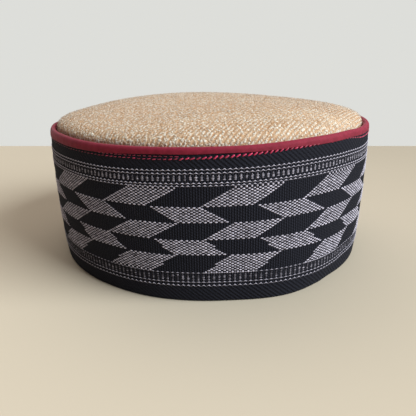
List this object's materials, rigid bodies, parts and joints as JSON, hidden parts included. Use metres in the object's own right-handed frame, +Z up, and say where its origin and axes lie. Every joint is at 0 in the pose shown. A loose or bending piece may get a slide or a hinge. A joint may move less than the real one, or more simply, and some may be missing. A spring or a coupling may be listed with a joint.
{
  "type": "himachali cap",
  "caption": "Round cap: a low domed wool crown whose side stands inside a tall stiff brocade band, with bias binding folded over the band's upper edge.",
  "frame": {"origin": "middle of the ring that the cap rests on, on the surface it stands on", "axes": "+Z up along the cap's axis, -Y towards the front, +X to the wearer's left"},
  "size_m": [0.1965, 0.1966, 0.0915],
  "materials": {
    "crown_wool": "matte cream wool twill tweed with ochre flecks and a short fuzz",
    "brocade": "near-black ribbed ground with grey raised floats in a zigzag check",
    "red_binding": "burgundy bias cloth with a soft sheen on its rounded edge"
  },
  "bodies": {
    "root": {"crown_top": "crown_wool", "crown_side": "crown_wool", "brocade_band": "brocade", "edge_binding": "red_binding"}
  },
  "joints": []
}
